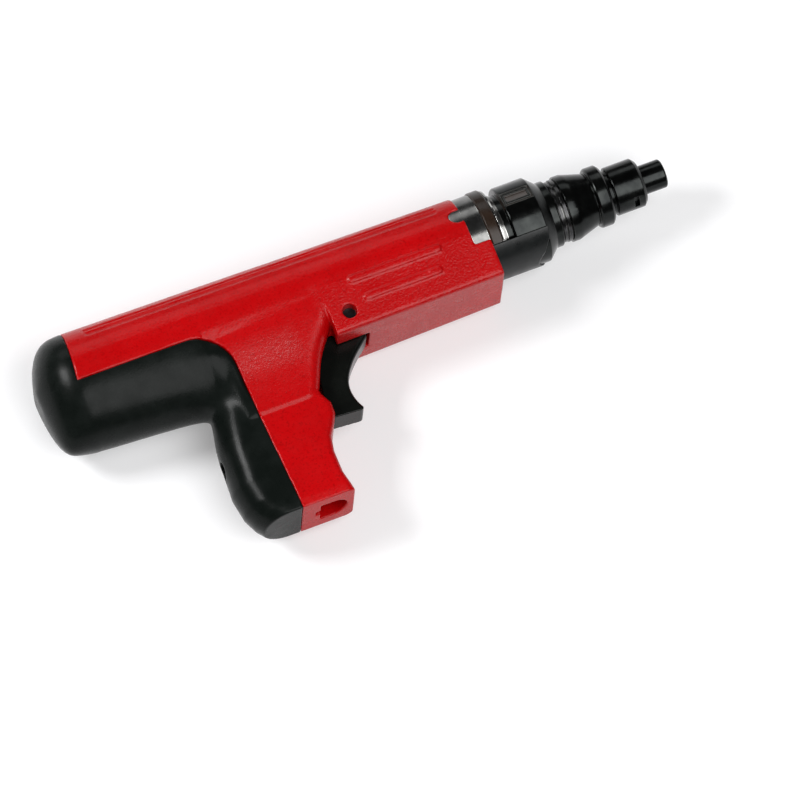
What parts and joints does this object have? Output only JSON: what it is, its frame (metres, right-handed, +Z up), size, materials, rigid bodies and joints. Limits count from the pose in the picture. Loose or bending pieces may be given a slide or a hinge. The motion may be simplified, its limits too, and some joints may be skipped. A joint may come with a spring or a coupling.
{
  "type": "powder-actuated nail gun",
  "caption": "Single-shot piston-driven powder-actuated nail gun with a red cast housing, black rubber grip, trigger and a stepped black steel muzzle.",
  "frame": {"origin": "bottom centre of the box round the tool as it lies on its left side", "axes": "+X along the barrel towards the muzzle, +Y towards the tool's own top (the handle points to -Y), +Z up, which is the tool's right-hand side"},
  "size_m": [0.345, 0.1368, 0.0566],
  "materials": {
    "red_casting": "gloss enamel over cast grain",
    "black_rubber": "satin moulded",
    "dark_screw": "blackened",
    "bright_steel": "machined",
    "spring_steel": "drawn wire, oiled",
    "trigger_black": "satin black",
    "pin_black": "black oxide",
    "black_oxide_steel": "polished black oxide",
    "barrel_steel": "ground, oiled",
    "brown_buffer": "satin",
    "chrome_ring": "bright",
    "ring_steel": "dark",
    "guard_black": "matte",
    "buffer_rubber": "matte"
  },
  "bodies": {
    "housing_body": {"housing": "red_casting", "grip_cover": "black_rubber", "grip_screw": "dark_screw", "butt_plug": "bright_steel", "breech_block": "bright_steel", "breech_ring": "spring_steel", "sear_pin": "bright_steel", "trigger_pin": "pin_black", "trigger_spring": "spring_steel", "sear_spring": "spring_steel", "firing_pin_spring": "spring_steel", "muzzle_spring": "spring_steel", "front_bush": "barrel_steel", "guide_pin": "bright_steel", "buffer_ring": "brown_buffer", "buffer_snap_ring": "chrome_ring", "front_guard": "guard_black"},
    "barrel_body": {"barrel": "barrel_steel", "thrust_ring": "barrel_steel", "barrel_sleeve": "black_oxide_steel", "lock_rings": "ring_steel", "nose_body": "black_oxide_steel", "nose_ring": "black_oxide_steel", "nose_sleeve": "black_oxide_steel", "nozzle": "black_oxide_steel", "nozzle_key": "black_oxide_steel", "piston_buffer": "buffer_rubber"},
    "piston_body": {"piston": "bright_steel", "piston_rings": "spring_steel"},
    "trigger_body": {"trigger": "trigger_black"},
    "sear_body": {"sear": "bright_steel"},
    "firing_pin_body": {"firing_pin": "bright_steel"}
  },
  "joints": [
    {"name": "muzzle_slide", "type": "slide", "parent": "housing_body", "child": "barrel_body", "axis": [1, 0, 0], "range_m": [-0.005, 0.028], "deforming": ["muzzle_spring"]},
    {"name": "piston_slide", "type": "slide", "parent": "barrel_body", "child": "piston_body", "axis": [1, 0, 0], "range_m": [0, 0.074]},
    {"name": "trigger_pull", "type": "hinge", "parent": "housing_body", "child": "trigger_body", "pos_m": [-0.0101, 0.0197, 0.0283], "axis": [0, 0, -1], "range_deg": [0, 10], "stiffness_Nm_per_rad": 0.6, "springref_deg": -20.05, "deforming": ["trigger_spring"]},
    {"name": "sear_tilt", "type": "hinge", "parent": "housing_body", "child": "sear_body", "pos_m": [-0.0545, 0.0191, 0.0283], "axis": [0, 0, 1], "range_deg": [0, 11.15], "deforming": ["sear_spring"]},
    {"name": "firing_pin_slide", "type": "slide", "parent": "housing_body", "child": "firing_pin_body", "axis": [1, 0, 0], "range_m": [0, 0.005], "deforming": ["firing_pin_spring"]}
  ],
  "couplings": [
    {"joint": "sear_tilt", "follows": "trigger_pull", "ratio": 1.115},
    {"joint": "firing_pin_slide", "follows": "trigger_pull", "m_per_rad": 0.028638}
  ]
}
